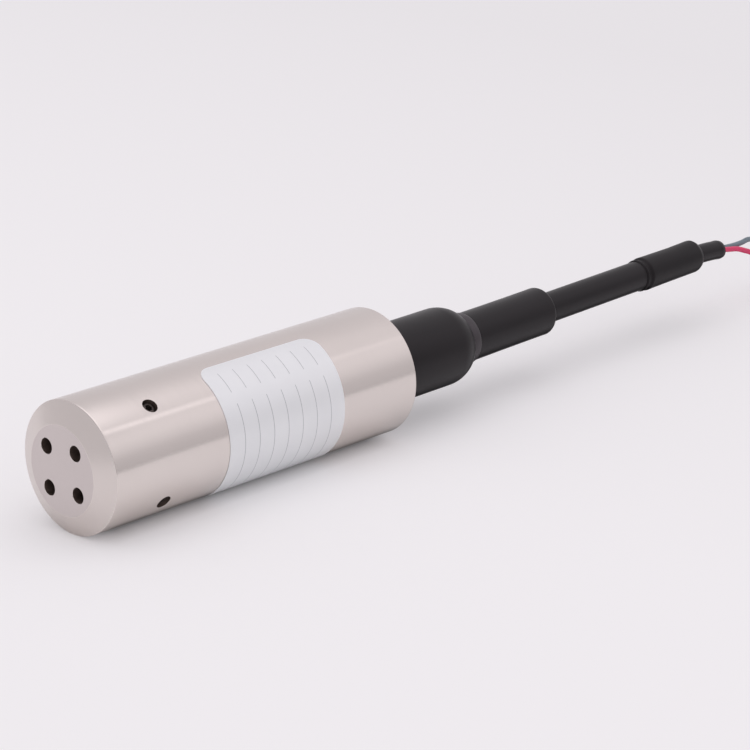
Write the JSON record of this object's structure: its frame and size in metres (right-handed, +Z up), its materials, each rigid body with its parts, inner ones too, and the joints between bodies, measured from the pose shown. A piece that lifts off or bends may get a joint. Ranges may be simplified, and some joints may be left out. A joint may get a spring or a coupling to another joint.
{
  "type": "differential pressure level transmitter",
  "caption": "Submersible stainless probe with ported conical nose, wrap-round label, shrink-sleeved cable gland and a short vented cable ending in two flying leads.",
  "frame": {"origin": "on the surface that the probe lies on, under the middle of the housing with its boot and sleeve", "axes": "+X along the housing's axis from nose to cable, +Z up, lying on its side, the label towards -Y"},
  "size_m": [0.2748, 0.0282, 0.028],
  "materials": {
    "stainless": "fine turned and brushed",
    "bright_steel": "bright",
    "screw_steel": "blackened",
    "brass": "plain",
    "label_film": "satin film",
    "seal_rubber": "matte",
    "heat_shrink": "satin",
    "cable_jacket": "satin",
    "lead_red": "gloss",
    "lead_grey": "gloss",
    "tinned_copper": "soft bright",
    "vent_plastic": "translucent",
    "board": "solder resist",
    "chip": "moulded",
    "trimmer": "moulded",
    "terminal": "moulded",
    "ring_plastic": "moulded",
    "ribbon": "film"
  },
  "bodies": {
    "root": {"amplifier_chip": "chip", "boot": "heat_shrink", "cable": "cable_jacket", "cable_collar": "brass", "cable_end_sleeve": "heat_shrink", "cable_sleeve": "heat_shrink", "cell_seal": "seal_rubber", "centring_ring": "ring_plastic", "circuit_board": "board", "diaphragm": "bright_steel", "filter_capacitor": "bright_steel", "gland_grommet": "seal_rubber", "gland_nut": "stainless", "gland_washer": "bright_steel", "grey_lead": "lead_grey", "grey_lead_tip": "tinned_copper", "grub_screw_1": "screw_steel", "grub_screw_2": "screw_steel", "grub_screw_3": "screw_steel", "grub_screw_4": "screw_steel", "holder_seal_1": "seal_rubber", "holder_seal_2": "seal_rubber", "housing": "stainless", "inner_lead_grey": "lead_grey", "inner_lead_red": "lead_red", "inner_sheath": "cable_jacket", "label": "label_film", "pin_header": "bright_steel", "plug_seal": "seal_rubber", "rear_plug": "stainless", "red_lead": "lead_red", "red_lead_tip": "tinned_copper", "regulator": "chip", "sensor_cell": "stainless", "sensor_holder": "stainless", "sensor_ribbon": "ribbon", "signal_chip": "chip", "terminal_block": "terminal", "terminal_screw_1": "bright_steel", "terminal_screw_2": "bright_steel", "vent_tube": "vent_plastic", "zero_trimmer": "trimmer"}
  },
  "joints": []
}
